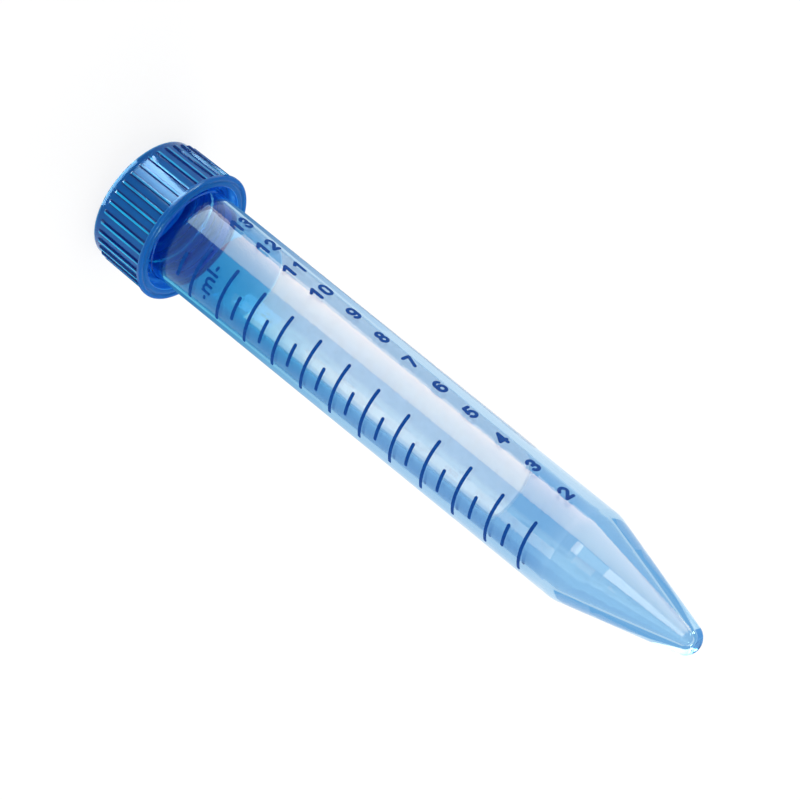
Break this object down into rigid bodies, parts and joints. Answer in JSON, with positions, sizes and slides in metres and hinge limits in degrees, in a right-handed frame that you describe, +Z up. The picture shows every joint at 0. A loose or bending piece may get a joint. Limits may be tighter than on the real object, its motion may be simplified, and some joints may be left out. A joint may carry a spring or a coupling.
{
  "type": "15 ml conical tube",
  "caption": "Clear conical-bottom centrifuge tube with a printed millilitre scale, a writing patch and a ribbed, flanged screw cap, standing on its flat cap.",
  "frame": {"origin": "centre of the cap's flat top, which is the surface that the tube stands on", "axes": "+Z up the tube's axis from the cap to the tip of the cone; the printed scale faces -Y"},
  "size_m": [0.0228, 0.0228, 0.1212],
  "materials": {
    "clear_tube": "clear, blue-tinted, polished",
    "blue_cap": "translucent deep blue, glossy",
    "scale_ink": "screen-printed ink",
    "patch_ink": "thin white printed field, matt"
  },
  "bodies": {
    "cap": {"screw_cap": "blue_cap"},
    "tube": {"tube": "clear_tube", "scale_print": "scale_ink", "writing_patch": "patch_ink"}
  },
  "joints": [
    {"name": "tube_lift", "type": "slide", "parent": "cap", "child": "tube", "axis": [0, 0, 1], "range_m": [0, 0.02]}
  ]
}
